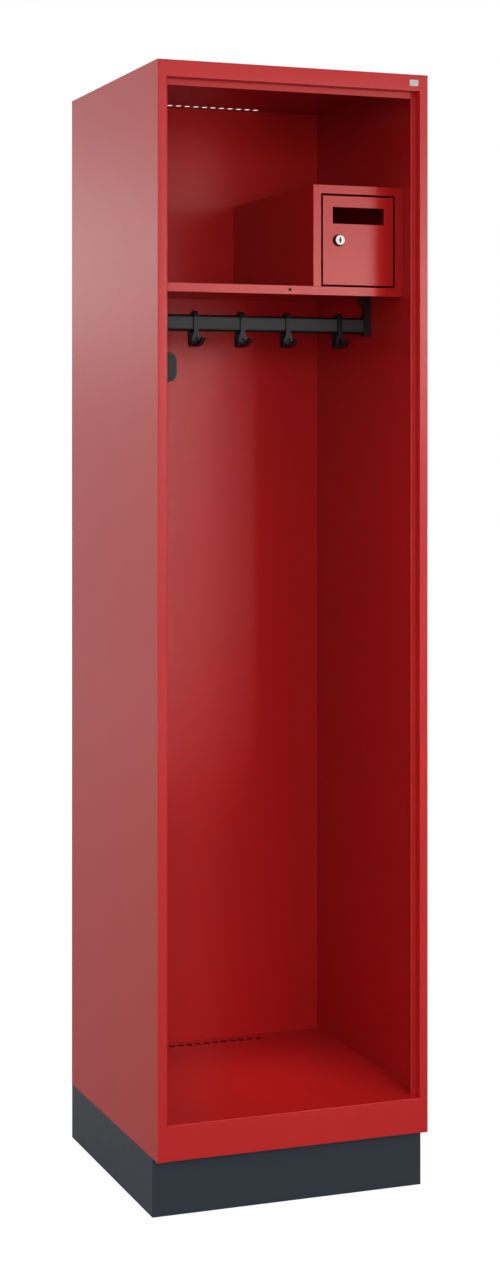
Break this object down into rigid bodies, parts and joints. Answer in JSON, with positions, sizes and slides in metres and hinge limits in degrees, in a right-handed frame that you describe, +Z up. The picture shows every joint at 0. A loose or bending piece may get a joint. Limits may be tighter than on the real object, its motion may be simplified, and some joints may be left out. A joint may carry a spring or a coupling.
{
  "type": "firefighter gear locker",
  "caption": "Tall open-fronted sheet-steel gear locker on a plinth, with a hat shelf, a lockable valuables box with a posting slot, and a coat rail with sliding hooks.",
  "frame": {"origin": "on the floor, under the middle of the locker's footprint", "axes": "+X to the right seen from the open front, +Y to the back, +Z up"},
  "size_m": [0.5, 0.5, 1.95],
  "materials": {
    "red_coat": "flame-red semi-gloss powder coat on folded sheet steel",
    "anthracite_coat": "anthracite satin powder coat on sheet steel",
    "black_plastic": "moulded black plastic, satin",
    "dark_rail": "dark grey coated steel tube, satin",
    "bright_metal": "bright nickel-plated lock plug",
    "zinc_plate": "bright zinc-plated steel",
    "dark_plate": "dark grey coated steel plate"
  },
  "bodies": {
    "cabinet": {"plinth_frame": "anthracite_coat", "plinth_bolt_1": "zinc_plate", "plinth_bolt_2": "zinc_plate", "plinth_bolt_3": "zinc_plate", "plinth_bolt_4": "zinc_plate", "left_side_panel": "red_coat", "right_side_panel": "red_coat", "back_panel": "red_coat", "top_panel": "red_coat", "floor_panel": "red_coat", "hat_shelf": "red_coat", "valuables_box": "red_coat", "coat_rail": "dark_rail", "rail_bracket_left": "black_plastic", "rail_bracket_right": "black_plastic", "rail_screw_1": "zinc_plate", "rail_screw_2": "zinc_plate", "rail_screw_3": "zinc_plate", "rail_screw_4": "zinc_plate", "helmet_holder": "dark_plate", "holder_nut_1": "zinc_plate", "holder_nut_2": "zinc_plate", "strip_hook": "zinc_plate", "strip_nut_1": "zinc_plate", "strip_nut_2": "zinc_plate"},
    "valuables_door": {"valuables_door": "red_coat", "hinge_pin_top": "zinc_plate", "hinge_pin_bottom": "zinc_plate", "lock_housing": "black_plastic", "lock_nut": "zinc_plate"},
    "lock_core": {"lock_plug": "bright_metal", "lock_cam": "zinc_plate", "cam_screw": "zinc_plate"},
    "coat_hook_1": {"coat_hook_1": "black_plastic"},
    "coat_hook_2": {"coat_hook_2": "black_plastic"},
    "coat_hook_3": {"coat_hook_3": "black_plastic"},
    "coat_hook_4": {"coat_hook_4": "black_plastic"},
    "coat_hook_5": {"coat_hook_5": "black_plastic"}
  },
  "joints": [
    {"name": "valuables_door_swing", "type": "hinge", "parent": "cabinet", "child": "valuables_door", "pos_m": [0.2246, -0.148, 1.6655], "axis": [0, 0, 1], "range_deg": [0, 80]},
    {"name": "lock_turn", "type": "hinge", "parent": "valuables_door", "child": "lock_core", "pos_m": [0.1221, -0.152, 1.6655], "axis": [0, 1, 0], "range_deg": [0, 90]},
    {"name": "hook_1_slide", "type": "slide", "parent": "cabinet", "child": "coat_hook_1", "axis": [1, 0, 0], "range_m": [-0.0425, 0.0345]},
    {"name": "hook_2_slide", "type": "slide", "parent": "cabinet", "child": "coat_hook_2", "axis": [1, 0, 0], "range_m": [-0.0345, 0.035]},
    {"name": "hook_3_slide", "type": "slide", "parent": "cabinet", "child": "coat_hook_3", "axis": [1, 0, 0], "range_m": [-0.035, 0.0345]},
    {"name": "hook_4_slide", "type": "slide", "parent": "cabinet", "child": "coat_hook_4", "axis": [1, 0, 0], "range_m": [-0.0345, 0.0415]},
    {"name": "hook_5_slide", "type": "slide", "parent": "cabinet", "child": "coat_hook_5", "axis": [1, 0, 0], "range_m": [-0.0415, 0.0395]}
  ]
}
